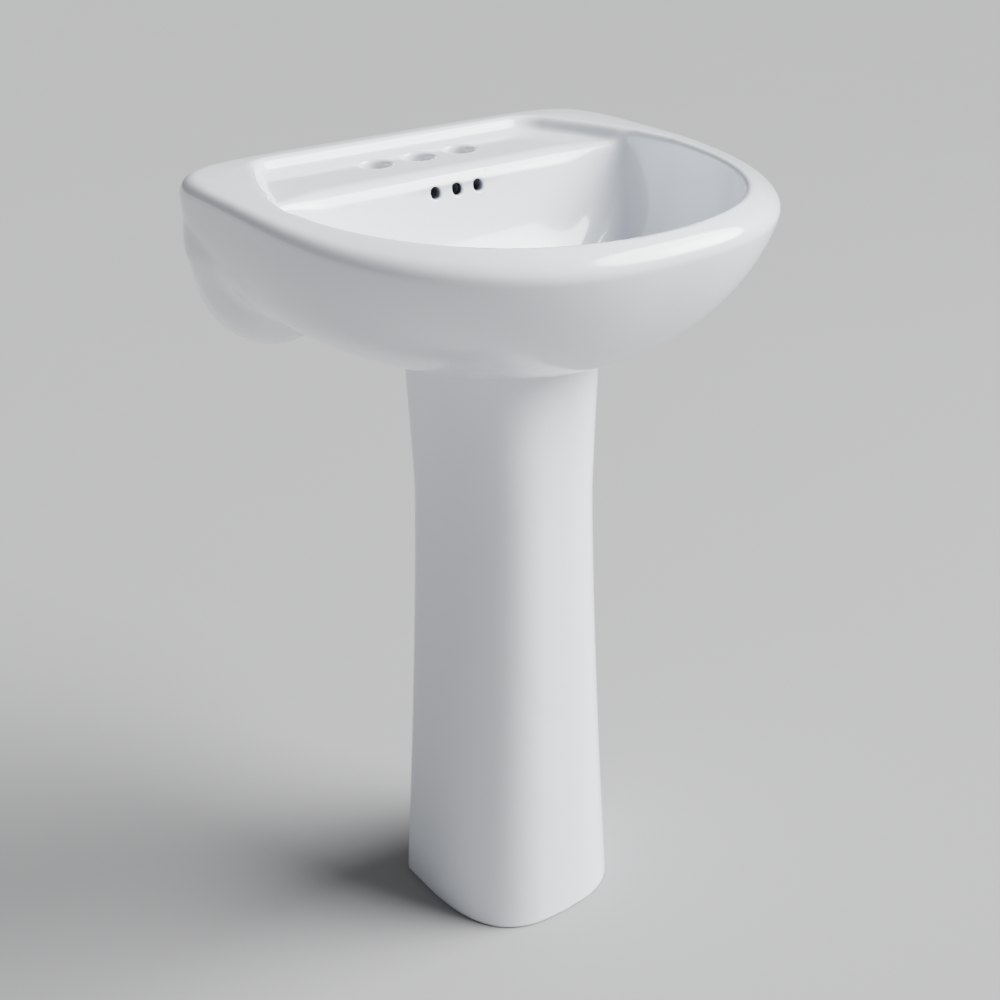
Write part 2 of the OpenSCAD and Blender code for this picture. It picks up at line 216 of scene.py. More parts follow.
class Basin:
    """The basin's form."""
    wing_depth = 112.0          # how far the apron's wings run forward from the wall
    wing_mid = 770.0            # height at which the apron is widest
    duct_half = 43.0            # half width of the overflow duct's housing
    channel_half = 34.0         # half width of the overflow channel inside it
    channel_wall = 9.0          # china between the bowl and the channel
    channel_depth = 12.0        # depth of the channel behind that
    overflow_drop = 19.0        # the overflow holes' distance below the deck
    faucet_hole = 16.0          # radius
    overflow_hole = 6.0         # radius
    drain_bore = 22.5           # radius
    flange_recess = 34.0        # radius
    boss_radius = 38.0          # the boss under the bowl that the drain is clamped to
    boss_low = 640.0            # height of the boss's underside
    bolt_out = 100.0            # the wall bolt holes' distance from the middle
    bolt_height = 762.0
    bolt_hole = 6.5             # radius

    # half width of the hollow under the deck at distances from the wall
    hollow_stops = (13, 42, 78, 104, 130, 180, 215)
    hollow_half = (204, 204, 172, 130, 95, 92, 60)

    def __init__(self, sizes):
        self.sizes = sizes
        self.deck = RIM - sizes.deck_drop
        dip = sizes.rim_dip

        def ahead(v):
            return ease((v - 150) / 318)

        def corner(v):
            return ease((150 - v) / 110)

        def behind(v):
            return ease((200 - v) / 40)

        self.belly = Loft(
            WIDTH / 2, 167.5, DEPTH, 0, 2.49, 6.2, 304, SEAT - 14,
            lambda v: RIM - 3 - (dip - 3) * ahead(v),
            lambda v: mix(mix(2.75, 2.5, ahead(v)), 2.0, corner(v)),
            lambda v: mix(mix(3.3, 1.37, ahead(v)), 3.0, corner(v)))
        self.bowl = Loft(
            220, 183, 443, 146, 2.29, 6, DRAIN, SEAT,
            lambda v: mix(RIM, self.deck, behind(v)),
            lambda v: mix(mix(4, 3.4, ahead(v)), 2.2, behind(v)),
            lambda v: mix(mix(3, 2, ahead(v)), 1.6, behind(v)), pinch=9)

    def crown(self, x, v):
        """Height of the rim's top, which falls away towards the outer edge."""
        out, angle = self.belly.place(x, v)
        edge = np.interp(angle, self.belly.angle, self.belly.edge)
        return RIM - (RIM - edge) * np.clip((out - 0.85) / 0.15, 0, 1.5) ** 1.4

    def along_wing(self, v):
        """0 at the wall, nearly 1 at the wing's front end and beyond."""
        return np.clip(soft_min(v / self.wing_depth, 1.0, 0.2), 0, None)

    def wing_low(self, f):
        return 600 + 62 * f ** 1.3 + 36 * f ** 6

    def wing_level(self, x, v, z):
        f = self.along_wing(v)
        half = 225 + 40 * f - 62 * f ** 2.5
        upper = z > self.wing_mid
        rise = np.where(upper, RIM - 4 - 9 * f - self.wing_mid, self.wing_mid - self.wing_low(f))
        e = np.where(upper, 5.5, 3 + 0.8 * f)
        return ((np.abs(x) / half) ** e + (np.abs(z - self.wing_mid) / rise) ** e) ** (1 / e) - 1

    def landing(self, x, v, z):
        """The ring under the basin that stands on the pedestal's cushion."""
        wall = 11
        outer = pedestal_section(x, v, PEDESTAL_TOP, 0)
        inner = pedestal_section(x, v, PEDESTAL_TOP, wall)
        ring = soft_max(outer, -inner, 2)
        return soft_max(soft_max(ring, PEDESTAL_TOP + 3 - z, 2), np.maximum(z - SEAT + 2, 195 - v), 2)

    def deck_space(self, x, v, z):
        """The space above the sunk deck."""
        forward = np.clip((v - 45) / 172, -0.3, 1)
        side = 160 + 51 * (1 - (1 - forward) ** 1.8) - 0.8 * np.clip(v - 214, 0, None)
        plan = soft_max((np.abs(x) - side) * 0.95, 46 - v, 20)
        plan = soft_max(plan, v - 280, 8)
        return soft_max(plan - (z - self.deck) * 0.45, self.deck - z, 8)

    def field(self, x, v, z, axes=None):
        sizes = self.sizes
        across = np.abs(x)
        body = distance(self.belly.level, x, v, z, axes)
        wing_all = distance(self.wing_level, x, v, z, axes, upright=True)
        f = self.along_wing(v)
        wing = soft_max(wing_all, self.wing_low(f) + 17 * (1 - f) - z, 6)
        wing = soft_max(wing, v - self.wing_depth - 8, 14)
        fold = 8 + 46 * ease((v + 30) / 90) * ease((792 - z) / 50)
        body = soft_min(body, wing, fold)
        body = soft_max(body, z - self.crown(x, v), sizes.rim_round + 12 * ease((110 - v) / 110))

        bowl = distance(self.bowl.level, x, v, z, axes)
        from_drain = np.hypot(x, v - DRAIN)
        boss = soft_max(from_drain - self.boss_radius, np.maximum(self.boss_low - z, z - SEAT + 4), 2.5)
        duct = soft_max(np.maximum(across - self.duct_half, v - DRAIN),
                        np.maximum(bowl - 30, z - self.deck + 10), 3)
        body = soft_min(body, self.landing(x, v, z), 4)
        body = soft_min(body, boss, 5)
        body = soft_min(body, duct, 5)

        # hollow under the deck and in the wings
        plan = (across - np.interp(v, self.hollow_stops, self.hollow_half)) * 0.8
        reach = np.minimum(wing_all + sizes.wall, np.maximum(across - 140, z - self.wing_mid))
        hollow = soft_max(soft_max(plan, reach, 6), np.maximum(sizes.wall - v, z - self.deck + 14), 6)
        hollow = soft_max(hollow, v - self.hollow_stops[-1], 3)
        hollow = soft_max(hollow, sizes.wall - bowl, 6)
        hollow = soft_max(hollow, -duct, 4)
        body = soft_max(body, -hollow, 4)
        channel_back = self.channel_wall + self.channel_depth
        channel = np.maximum(np.maximum(self.channel_wall - bowl, bowl - channel_back),
                             across - self.channel_half)
        channel = np.maximum(channel, np.maximum(z - self.deck + 11, v - DRAIN))
        body = np.maximum(body, -channel)

        space = soft_min(bowl, self.deck_space(x, v, z), mix(22, 9, ease((across - 140) / 60)))
        body = soft_max(body, -space, sizes.lip_round)
        body = soft_max(body, -v, 3)

        for i in (-1, 0, 1):
            faucet = np.hypot(x - i * sizes.faucet_pitch, v - sizes.faucet_line) - self.faucet_hole
            edge = np.where(z > self.deck - 7, 4.5, 1.5)
            body = soft_max(body, -np.maximum(faucet, self.deck - 23 - z), edge)
            overflow = np.hypot(x - i * sizes.overflow_pitch, z - self.deck + self.overflow_drop)
            overflow = np.maximum(overflow - self.overflow_hole, np.abs(v - 154) - 21)
            body = soft_max(body, -overflow, 1.6)
        recess = np.maximum(from_drain - self.flange_recess, SEAT - 2 - z)
        body = soft_max(body, -np.minimum(from_drain - self.drain_bore, recess), 1.5)
        bolts = np.hypot(across - self.bolt_out, z - self.bolt_height) - self.bolt_hole
        return soft_max(body, -np.maximum(bolts, v - 30), 1.5)


def pedestal_level(x, v, half, front, inset):
    """Level of the pedestal's rounded outline, flat towards the wall."""
    middle = PEDESTAL_BACK + 40
    ahead = v > middle
    run = np.where(ahead, front - middle, 40) - inset
    n = np.where(ahead, 2.8, 8)
    return ((np.abs(x) / (half - inset)) ** n + (np.abs(v - middle) / run) ** n) ** (1 / n) - 1


def pedestal_half(z):
    waist, waist_z, top = 80, 500, 89
    low = waist + (FOOT_HALF - waist) * np.clip((waist_z - z) / waist_z, 0, None) ** 1.35
    high = waist + (top - waist) * np.clip((z - waist_z) / (PEDESTAL_TOP - waist_z), 0, None) ** 1.2
    return np.where(z < waist_z, low, high)


def pedestal_front(z):
    top_front = 311
    return top_front + (FOOT_FRONT - top_front) * np.clip(1 - z / PEDESTAL_TOP, 0, 1) ** 1.3


def pedestal_section(x, v, z, inset):
    """The pedestal's outline at one height as a plain field across x and v."""
    half, front = float(pedestal_half(z)), float(pedestal_front(z))
    return pedestal_level(x, v, half, front, inset) * (half - inset)


class Pedestal:
    """The pedestal's form: a shell that is open towards the wall, with two lugs for floor screws."""
    wall = 11.0
    lug_x, lug_v = 68.0, 194.0  # the floor screws' places
    lug_radius = 18.0
    lug_height = 14.0
    lug_hole = 7.0              # radius
    gap_half = 58.0             # half width of the opening towards the wall

    def level(self, x, v, z):
        return pedestal_level(x, v, pedestal_half(z), pedestal_front(z), 0)

    def field(self, x, v, z, axes=None):
        across = np.abs(x)
        outer = distance(self.level, x, v, z, axes)
        shell = soft_max(outer, -outer - self.wall, 2)
        shell = soft_max(shell, z - PEDESTAL_TOP, 3)
        gap = soft_max(across - self.gap_half, v - PEDESTAL_BACK - 30, 3)
        shell = soft_max(shell, -gap, 5)
        from_screw = np.hypot(across - self.lug_x, v - self.lug_v)
        web = np.maximum(self.lug_x - across, across - self.lug_x - 30)
        web = np.maximum(web, np.abs(v - self.lug_v) - self.lug_radius)
        lug = soft_max(np.minimum(from_screw - self.lug_radius, web), z - self.lug_height, 2.5)
        lug = np.maximum(lug, outer + 3)
        shell = soft_min(shell, lug, 4)
        shell = soft_max(shell, self.lug_hole - from_screw, 1)
        return soft_max(shell, -z, 2.2)


# ---- meshes ----

def grid_line(stops):
    """Places along an axis from (place, step) stops; the step changes evenly between stops."""
    places, steps = zip(*stops)
    out = [places[0]]
    while out[-1] < places[-1]:
        out.append(out[-1] + np.interp(out[-1], places, steps))
    return np.array(out)


def slopes_of(field, points, h=0.05):
    base = field(*points.T)
    return base, np.stack([(field(*(points + step).T) - base) / h for step in np.eye(3) * h], 1)


def mesh_from_field(name, field, axes):
    """Cuts a field into quads, then moves each corner onto the true surface."""
    x, v, z = np.meshgrid(*axes, indexing="ij", sparse=True)
    band, rounds, longest = 12.0, 4, 2.0
    values = np.clip(field(x, v, z, axes), -band, band)
    volume = openvdb.FloatGrid(band)
    volume.copyFromArray(np.ascontiguousarray(values, dtype=np.float32))
    volume.gridClass = openvdb.GridClass.LEVEL_SET
    places, quads = volume.convertToQuads(isovalue=0.0)
    points = np.stack([np.interp(places[:, i], np.arange(len(axes[i])), axes[i]) for i in range(3)], 1)
    for _ in range(rounds):
        value, slope = slopes_of(field, points)
        move = (value / np.maximum((slope ** 2).sum(1), 0.05))[:, None] * slope
        length = np.maximum(np.linalg.norm(move, axis=1, keepdims=True), 1e-9)
        points = points - move * np.minimum(1, longest / length)
    _, normals = slopes_of(field, points, 0.4)
    normals /= np.linalg.norm(normals, axis=1, keepdims=True)
    flip = np.array((1, -1, 1))
    mesh = bpy.data.meshes.new(name)
    mesh.from_pydata(((points * flip + (0, WALL, 0)) / MM).tolist(), [], quads.tolist())
    mesh.update()
    normals = normals * flip
    sample = range(0, len(quads), 50)
    facing = sum(mesh.polygons[i].normal.dot(Vector(normals[quads[i][0]])) for i in sample)
    if facing < 0:
        mesh.flip_normals()
    mesh.shade_smooth()
    mesh.normals_split_custom_set_from_vertices(normals.tolist())
    return mesh


def add_piece(name, mesh, body, nodes, material):
    """Puts a mesh into the scene as a piece that stands for CAD nodes."""
    piece = bpy.data.objects.new(name, mesh)
    bpy.context.scene.collection.objects.link(piece)
    mesh.materials.append(material)
    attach(piece, body)
    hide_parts(*nodes)
    return piece


def rounded(corners, radius, steps=4):
    """A closed outline with its corners rounded; a corner on the axis stays sharp."""
    out = []
    count = len(corners)
    for i, here in enumerate(corners):
        here = Vector(here)
        before = Vector(corners[i - 1]) - here
        after = Vector(corners[(i + 1) % count]) - here
        cut = min(radius, before.length * 0.45, after.length * 0.45)
        if here.x < 1e-6 or cut < 0.02:
            out.append(tuple(here))
            continue
        a = here + before.normalized() * cut
        b = here + after.normalized() * cut
        for k in range(steps + 1):
            t = k / steps
            out.append(tuple(a * (1 - t) ** 2 + here * 2 * t * (1 - t) + b * t * t))
    return out


def with_thread_rows(outline, thread):
    """Adds closely spaced points to the straight stretch that carries a thread."""
    if thread is None:
        return outline
    radius, low, high, pitch, _ = thread
    out = []
    for i, (r, z) in enumerate(outline):
        out.append((r, z))
        r_next, z_next = outline[(i + 1) % len(outline)]
        if abs(r - radius) < 0.01 and abs(r_next - radius) < 0.01 and abs(z_next - z) > pitch:
            rows = int(abs(z_next - z) / pitch * 8)
            out.extend((radius, mix(z, z_next, k / rows)) for k in range(1, rows))
    return out


def turn(bm, outline, place, segments=96, threads=(), hexagon=None):
    """Turns an outline of (radius, height) round an upright axis.

    place maps x, y and height in millimetres to a point in the frame. A thread is
    (radius, low, high, pitch, depth). hexagon is (across corners, low, high): the outline's
    widest part between those heights becomes a chamfered hexagon.
    """
    for thread in threads:
        outline = with_thread_rows(outline, thread)
    rings = []
    for r, z in outline:
        ring = []
        for k in range(segments):
            angle = 2 * math.pi * k / segments
            radius, height = r, z
            for at, low, high, pitch, depth in threads:
                if abs(r - at) < 0.01 and low < z < high:
                    fade = min(1.0, (z - low) / pitch, (high - z) / pitch)
                    wave = 0.5 - 0.5 * math.cos(2 * math.pi * z / pitch - angle)
                    radius = r - depth * fade * wave
            if hexagon and r > hexagon[0] * 0.49 and hexagon[1] <= z <= hexagon[2]:
                flat = hexagon[0] / 2 * math.cos(math.pi / 6)
                side = flat / math.cos((angle + math.pi / 6) % (math.pi / 3) - math.pi / 6)
                radius, slope = side, max(0, side - flat * 1.02) * 0.55
                height = min(max(z, hexagon[1] + slope), hexagon[2] - slope)
            ring.append(bm.verts.new(place(radius * math.cos(angle), radius * math.sin(angle), height)))
        rings.append(ring)
    for a, b in zip(rings, rings[1:] + rings[:1]):
        for k in range(segments):
            j = (k + 1) % segments
            bm.faces.new((a[k], a[j], b[j], b[k]))


def finish_mesh(name, bm, crease=35):
    bmesh.ops.remove_doubles(bm, verts=bm.verts, dist=2e-6)
    bmesh.ops.dissolve_degenerate(bm, edges=bm.edges, dist=1e-7)
    bmesh.ops.recalc_face_normals(bm, faces=bm.faces)
    for face in bm.faces:
        face.smooth = True
    for edge in bm.edges:
        if edge.is_manifold and edge.calc_face_angle() > math.radians(crease):
            edge.smooth = False
    mesh = bpy.data.meshes.new(name)
    bm.to_mesh(mesh)
    bm.free()
    return mesh


def on_drain(x, y, z):
    return Vector((x, WALL - DRAIN + y, z)) / MM


def box_outline(r_in, r_out, low, high):
    return [(r_in, low), (r_out, low), (r_out, high), (r_in, high)]


def turned_piece(name, outline, body, slot, nodes, material, place=on_drain, radius=0.4, **options):
    """One turned piece that stands for one or more CAD nodes."""
    bm = bmesh.new()
    places = place if isinstance(place, (list, tuple)) else [place]
    for one in places:
        turn(bm, rounded(outline, radius), one, **options)
    return add_piece(name, finish_mesh(name, bm), body, nodes, material)


# ---- materials ----

def plug(tree, socket, value):
    """Sets a socket, or links it where the value comes from another node."""
    if isinstance(value, Value):
        tree.links.new(value.socket, socket)
    elif isinstance(value, (tuple, list)) and socket.type == "RGBA":
        socket.default_value = (*value[:3], 1)
    else:
        socket.default_value = value


class Value:
    """A node's output, so that shader maths reads as a plain expression."""

    def __init__(self, tree, socket):
        self.tree, self.socket = tree, socket

    def _maths(self, operation, a, b):
        node = self.tree.nodes.new("ShaderNodeMath")
        node.operation = operation
        plug(self.tree, node.inputs[0], a)
        plug(self.tree, node.inputs[1], b)
        return Value(self.tree, node.outputs[0])

    def __add__(self, other):
        return self._maths("ADD", self, other)

    def __radd__(self, other):
        return self._maths("ADD", other, self)

    def __sub__(self, other):
        return self._maths("SUBTRACT", self, other)

    def __rsub__(self, other):
        return self._maths("SUBTRACT", other, self)

    def __mul__(self, other):
        return self._maths("MULTIPLY", self, other)

    def __rmul__(self, other):
        return self._maths("MULTIPLY", other, self)


class Finish:
    """One material. Constants go straight onto the shader's sockets."""

    def __init__(self, name, **constants):
        self.material = bpy.data.materials.new("finish_" + name)
        self.material.use_nodes = True
        self.tree = self.material.node_tree
        self.shader = self.tree.nodes["Principled BSDF"]
        for socket, value in constants.items():
            plug(self.tree, self.shader.inputs[socket.replace("_", " ")], value)

    def node(self, kind, settings=None, sockets=None, output=0):
        """Adds any node: its settings first, then its sockets by name or number."""
        node = self.tree.nodes.new(kind)
        for key, value in (settings or {}).items():
            if key == "stops":
                for element, (place, shade) in zip(node.color_ramp.elements, value):
                    element.position = place
                    element.color = (shade, shade, shade, 1)
            else:
                setattr(node, key, value)
        for key, value in (sockets or {}).items():
            plug(self.tree, node.inputs[key], value)
        return Value(self.tree, node.outputs[output])

    def place(self, scale=(1, 1, 1)):
        """Object coordinates in metres, stretched by scale."""
        spot = self.node("ShaderNodeTexCoord", output=3)
        return self.node("ShaderNodeVectorMath", {"operation": "MULTIPLY"}, {0: spot, 1: scale})

    def noise(self, scale, detail=3.0, stretch=(1, 1, 1), roughness=0.5):
        return self.node("ShaderNodeTexNoise", None, {"Vector": self.place(stretch), "Scale": scale,
                                                      "Detail": detail, "Roughness": roughness})

    def ramp(self, value, low, high, dark=0.0, light=1.0):
        return self.node("ShaderNodeValToRGB", {"stops": ((low, dark), (high, light))}, {"Fac": value})

    def blend(self, share, a, b):
        return self.node("ShaderNodeMix", {"data_type": "RGBA"}, {0: share, 6: a, 7: b}, output=2)

    def bump(self, height, strength, depth):
        return self.node("ShaderNodeBump", None, {"Strength": strength, "Distance": depth, "Height": height})

    def paint(self, **links):
        for socket, value in links.items():
            plug(self.tree, self.shader.inputs[socket.replace("_", " ")], value)
        return self.material


def shade_of(colour, factor):
    return tuple(min(1.0, c * factor) for c in colour)


def glazed_china(colours):
    """Vitreous china under a thick clear glaze, a little thinner and rougher in places, with painted shade
    inside the overflow duct.
    """
    finish = Finish("glazed_china", IOR=1.52, Coat_IOR=1.5, Coat_Roughness=0.03, Specular_IOR_Level=0.5)
    cloud = finish.noise(9, 3)
    fine = finish.noise(380, 2)
    waver = finish.noise(38, 2)
    spot = finish.place()
    across, y, height = (finish.node("ShaderNodeSeparateXYZ", None, {0: spot}, output=i) for i in range(3))
    behind = WALL / MM - y
    # painted shade: the inside of the overflow duct, which shows through its three holes, is painted near
    # black and has no coat
    duct = (finish.ramp(behind, 0.119, 0.121) * finish.ramp(behind, 0.1446, 0.1462, 1.0, 0.0)
            * finish.ramp(height, 0.745, 0.75) * finish.ramp(height, 0.7955, 0.797, 1.0, 0.0)
            * finish.ramp(across * across, 0.0012, 0.0014, 1.0, 0.0))
    bare = finish.ramp(height + finish.noise(90, 3) * 0.0012, 0.0009, 0.0022, 1.0, 0.0)
    pale = finish.blend(cloud, shade_of(colours.glaze, 0.985), shade_of(colours.glaze, 1.02))
    specks = finish.ramp(finish.noise(620, 1), 0.755, 0.79)
    colour = finish.blend(specks * 0.30, pale, shade_of(colours.glaze, 0.72))
    colour = finish.blend(bare, colour, tuple(colours.clay))
    # painted shade: the duct mask turns the colour near black where the duct's inside lies in shade
    colour = finish.blend(duct, colour, tuple(colours.duct))
    gloss = finish.ramp(cloud, 0.35, 0.7, 0.13, 0.19)
    return finish.paint(
        Base_Color=colour,
        Roughness=gloss + bare * 0.5,
        Coat_Weight=(1 - bare) * (1 - duct) * 0.55,
        Normal=finish.bump(waver * 0.8 + fine * 0.06, 0.30, 0.0012))


def polished_chrome(colours):
    """Bright chrome plate with faint wiping marks and dried water spots."""
    finish = Finish("polished_chrome", Metallic=1.0)
    wipe = finish.noise(60, 4, (1, 6, 1))
    spots = finish.ramp(finish.noise(420, 2), 0.62, 0.72)
    colour = finish.blend(wipe, shade_of(colours.chrome, 0.94), shade_of(colours.chrome, 1.04))
    return finish.paint(
        Base_Color=finish.blend(spots * 0.25, colour, shade_of(colours.chrome, 0.8)),
        Roughness=finish.ramp(wipe, 0.3, 0.75, 0.05, 0.12) + spots * 0.14,
        Normal=finish.bump(wipe, 0.05, 0.0004))


def plain_brass(colours):
    """Machined brass that has started to dull, with turning marks round it."""
    finish = Finish("plain_brass", Metallic=1.0)
    tarnish = finish.noise(70, 5)
    marks = finish.noise(260, 3, (0.6, 0.6, 9))
    return finish.paint(
        Base_Color=finish.blend(finish.ramp(tarnish, 0.42, 0.72), tuple(colours.brass),
                                shade_of(colours.brass, 0.55)),
        Roughness=finish.ramp(tarnish, 0.3, 0.7, 0.24, 0.46) + marks * 0.08,
        Normal=finish.bump(marks, 0.16, 0.0004))


def zinc_steel(colours, name="zinc_steel", dark=1.0):
    """Zinc plated steel: cloudy patches and a dry sheen."""
    finish = Finish(name, Metallic=1.0)
    patches = finish.node("ShaderNodeTexVoronoi", None, {"Vector": finish.place(), "Scale": 320}, output=1)
    patch = finish.node("ShaderNodeRGBToBW", None, {0: patches})
    cloud = finish.noise(120, 4)
    shift = patch * 0.5 + cloud * 0.5
    dull, bright = shade_of(colours.steel, 0.72 * dark), shade_of(colours.steel, 1.1 * dark)
    return finish.paint(
        Base_Color=finish.blend(shift, dull, bright),
        Roughness=finish.ramp(shift, 0.3, 0.7, 0.26, 0.42),
        Normal=finish.bump(cloud, 0.15, 0.0003))


def black_rubber(colours):
    """Moulded rubber with a dusty bloom."""
    finish = Finish("black_rubber", Specular_IOR_Level=0.35)
    bloom = finish.noise(85, 4)
    grain = finish.noise(900, 3)
    return finish.paint(
        Base_Color=finish.blend(finish.ramp(bloom, 0.4, 0.75), tuple(colours.rubber),
                                shade_of(colours.rubber, 2.4)),
        Roughness=finish.ramp(bloom, 0.3, 0.8, 0.58, 0.78),
        Normal=finish.bump(grain, 0.25, 0.0003))


def white_nylon(colours):
    """Moulded nylon, slightly yellowed, with a soft shine."""
    finish = Finish("white_nylon", IOR=1.53)
    age = finish.noise(60, 3)
    grain = finish.noise(700, 2)
    return finish.paint(
        Base_Color=finish.blend(age, tuple(colours.nylon), shade_of(colours.nylon, 0.92)),
        Roughness=finish.ramp(age, 0.3, 0.7, 0.36, 0.48),
        Normal=finish.bump(grain, 0.12, 0.0003))


def floor_paint(colours):
    """A plain pale floor."""
    finish = Finish("studio_floor", Specular_IOR_Level=0.1)
    drift = finish.noise(1.5, 2)
    return finish.paint(
        Base_Color=finish.blend(drift, shade_of(colours.floor, 0.99), tuple(colours.floor)),
        Roughness=finish.ramp(drift, 0.3, 0.7, 0.75, 0.85))


def material(name, context):
    """The named material, made on first use."""
    colours = context.scene.sink_finish
    makers = {"glazed_china": glazed_china, "polished_chrome": polished_chrome, "plain_brass": plain_brass,
              "zinc_steel": zinc_steel, "black_rubber": black_rubber, "white_nylon": white_nylon}
    made = bpy.data.materials.get("finish_" + name)
    if made is None:
        made = zinc_steel(colours, name, 0.8) if name == "spring_steel" else makers[name](colours)
    return made


# ---- operators ----

class SINK_OT_basin(bpy.types.Operator):
    """Builds the china basin."""
    bl_idname = "sink.basin"
    bl_label = "Basin"

    def execute(self, context):
        sizes = context.scene.sink_china
        cell = sizes.cell
        near = cell / 2
        half = WIDTH / 2 + 8
        line, deck = sizes.faucet_line, RIM - sizes.deck_drop
        axes = (grid_line(((-half, cell), (-92, cell), (-72, near), (72, near), (92, cell), (half, cell))),
                grid_line(((-8, 3), (line - 34, cell), (line - 22, near), (162, near), (178, cell),
                           (DRAIN - 46, cell), (DRAIN - 38, near), (DRAIN + 38, near), (DRAIN + 46, cell),
                           (DEPTH + 8, cell))),
                grid_line(((607, cell), (SEAT - 12, cell), (SEAT - 7, near), (SEAT + 5, near),
                           (SEAT + 12, cell), (deck - 42, cell), (deck - 28, near), (RIM + 8, near))))
        mesh = mesh_from_field("china_basin", Basin(sizes).field, axes)
        add_piece("china_basin", mesh, "sink", ["basin"],
                  material("glazed_china", context))
        return {"FINISHED"}


class SINK_OT_pedestal(bpy.types.Operator):
    """Builds the china pedestal."""
    bl_idname = "sink.pedestal"
    bl_label = "Pedestal"

    def execute(self, context):
        half = FOOT_HALF + 6
        axes = (grid_line(((-half, 3.6), (half, 3.6))),
                grid_line(((PEDESTAL_BACK - 6, 3), (PEDESTAL_BACK + 30, 3.6), (FOOT_FRONT + 6, 3.6))),
                grid_line(((-6, 2), (18, 2.5), (60, 7), (PEDESTAL_TOP - 50, 7), (PEDESTAL_TOP - 8, 2),
                           (PEDESTAL_TOP + 6, 2))))
        mesh = mesh_from_field("china_pedestal", Pedestal().field, axes)
        add_piece("china_pedestal", mesh, "sink", ["pedestal"],
                  material("glazed_china", context))
        return {"FINISHED"}


class SINK_OT_cushion(bpy.types.Operator):
    """Builds the rubber cushion between pedestal and basin."""
    bl_idname = "sink.cushion"
    bl_label = "Cushion"

    def execute(self, context):
        low, high = node_span("seat_cushion", 2)

        def field(x, v, z, axes=None):
            outer = pedestal_section(x, v, PEDESTAL_TOP, 1.4)
            inner = pedestal_section(x, v, PEDESTAL_TOP, 9.6)
            strip = soft_max(soft_max(outer, -inner, 0.8), 196.4 - v, 0.8)
            return soft_max(strip, np.abs(z - (low + high) / 2) - (high - low) / 2, 0.9)

        axes = (grid_line(((-92, 1.6), (92, 1.6))), grid_line(((190, 1.6), (315, 1.6))),
                grid_line(((low - 1.5, 0.5), (high + 1.5, 0.5))))
        mesh = mesh_from_field("seat_cushion_strip", field, axes)
        add_piece("seat_cushion_strip", mesh, "sink", ["seat_cushion"],
                  material("black_rubber", context))
        return {"FINISHED"}


class SINK_OT_drain(bpy.types.Operator):
    """Builds the drain body, its lock nut and the tailpiece."""
    bl_idname = "sink.drain"
    bl_label = "Drain"

    def execute(self, context):
        chrome = material("polished_chrome", context)
        low, high = node_span("drain_body", 2)
        outer, inner, flange = 20.7, 17.0, high - 3
        bm = bmesh.new()
        body = [(inner, low), (outer, low), (outer, flange), (31.2, flange), (32, flange + 0.9),
                (31.3, flange + 2.0), (29.5, high), (22, high), (inner, high - 5)]
        turn(bm, rounded(body, 0.6), on_drain, threads=[(outer, low + 1, 652, 1.9, 0.7)])
        for k in range(3):
            self.spoke(bm, k * 2 * math.pi / 3, low + 32)
        turn(bm, rounded(box_outline(8, 11, low + 32, low + 40), 0.5), on_drain)
        add_piece("drain_body_turned", finish_mesh("drain_body_turned", bm), "sink",
                  ["drain_body"], chrome)

        brass = material("plain_brass", context)
        low, high = node_span("lock_nut", 2)
        nut = [(20.7, low), (29, low), (29, low + 8), (27, low + 8.2), (27, high), (20.7, high)]
        turned_piece("lock_nut_hex", nut, "sink", "plain_brass", ["lock_nut"], brass, radius=0.35,
                     hexagon=(58, low, low + 8))

        low, high = node_span("tailpiece", 2)
        r = node_span("tailpiece", 0)[1]
        tube, wall = 15.875, 1.3
        pipe = [(tube - wall, low), (tube, low), (tube, 592), (r, 594), (r, 598), (16.9, 598.2), (16.9, high),
                (tube - wall, high)]
        turned_piece("tailpiece_tube", pipe, "sink", "polished_chrome", ["tailpiece"], chrome, radius=0.5,
                     threads=[(16.9, 599.5, high - 1, 1.9, 0.5)])
        return {"FINISHED"}

    def spoke(self, bm, angle, low):
        """One rib of the cross that carries the stopper's guide."""
        ends = []
        for along in (9.6, 18.4):
            ring = []
            for k in range(12):
                turn_by = 2 * math.pi * k / 12
                side = 1.5 * signed_power(math.cos(turn_by), 0.6)
                up = 4 + 4 * signed_power(math.sin(turn_by), 0.6)
                x = along * math.cos(angle) - side * math.sin(angle)
                y = along * math.sin(angle) + side * math.cos(angle)
                ring.append(bm.verts.new(on_drain(x, y, low + up)))
            ends.append(ring)
        for k in range(12):
            j = (k + 1) % 12
            bm.faces.new((ends[0][k], ends[0][j], ends[1][j], ends[1][k]))
        bm.faces.new(ends[0])
        bm.faces.new(list(reversed(ends[1])))


class SINK_OT_gaskets(bpy.types.Operator):
    """Builds the rubber and nylon rings of the drain."""
    bl_idname = "sink.gaskets"
    bl_label = "Gaskets"

    def execute(self, context):
        rubber = material("black_rubber", context)
        nylon = material("white_nylon", context)
        low, high = node_span("flange_gasket", 2)
        turned_piece("flange_gasket_ring", box_outline(20.9, 30, low, high), "sink", "black_rubber",
                     ["flange_gasket"], rubber, radius=0.9)
        cone = [(20.7, 628), (29, 628), (29, 636), (26.5, 640), (22.3, 640), (21.8, 645), (20.7, 645)]
        turned_piece("body_gasket_cone", cone, "sink", "black_rubber", ["body_gasket"], rubber, radius=0.8)
        low, high = node_span("friction_washer", 2)
        turned_piece("friction_washer_ring", box_outline(21, 29, low, high), "sink", "white_nylon",
                     ["friction_washer"], nylon, radius=0.6)
        low, high = node_span("tailpiece_washer", 2)
        turned_piece("tailpiece_washer_ring", box_outline(17, 20, low, high), "sink", "black_rubber",
                     ["tailpiece_washer"], rubber, radius=0.6)
        return {"FINISHED"}


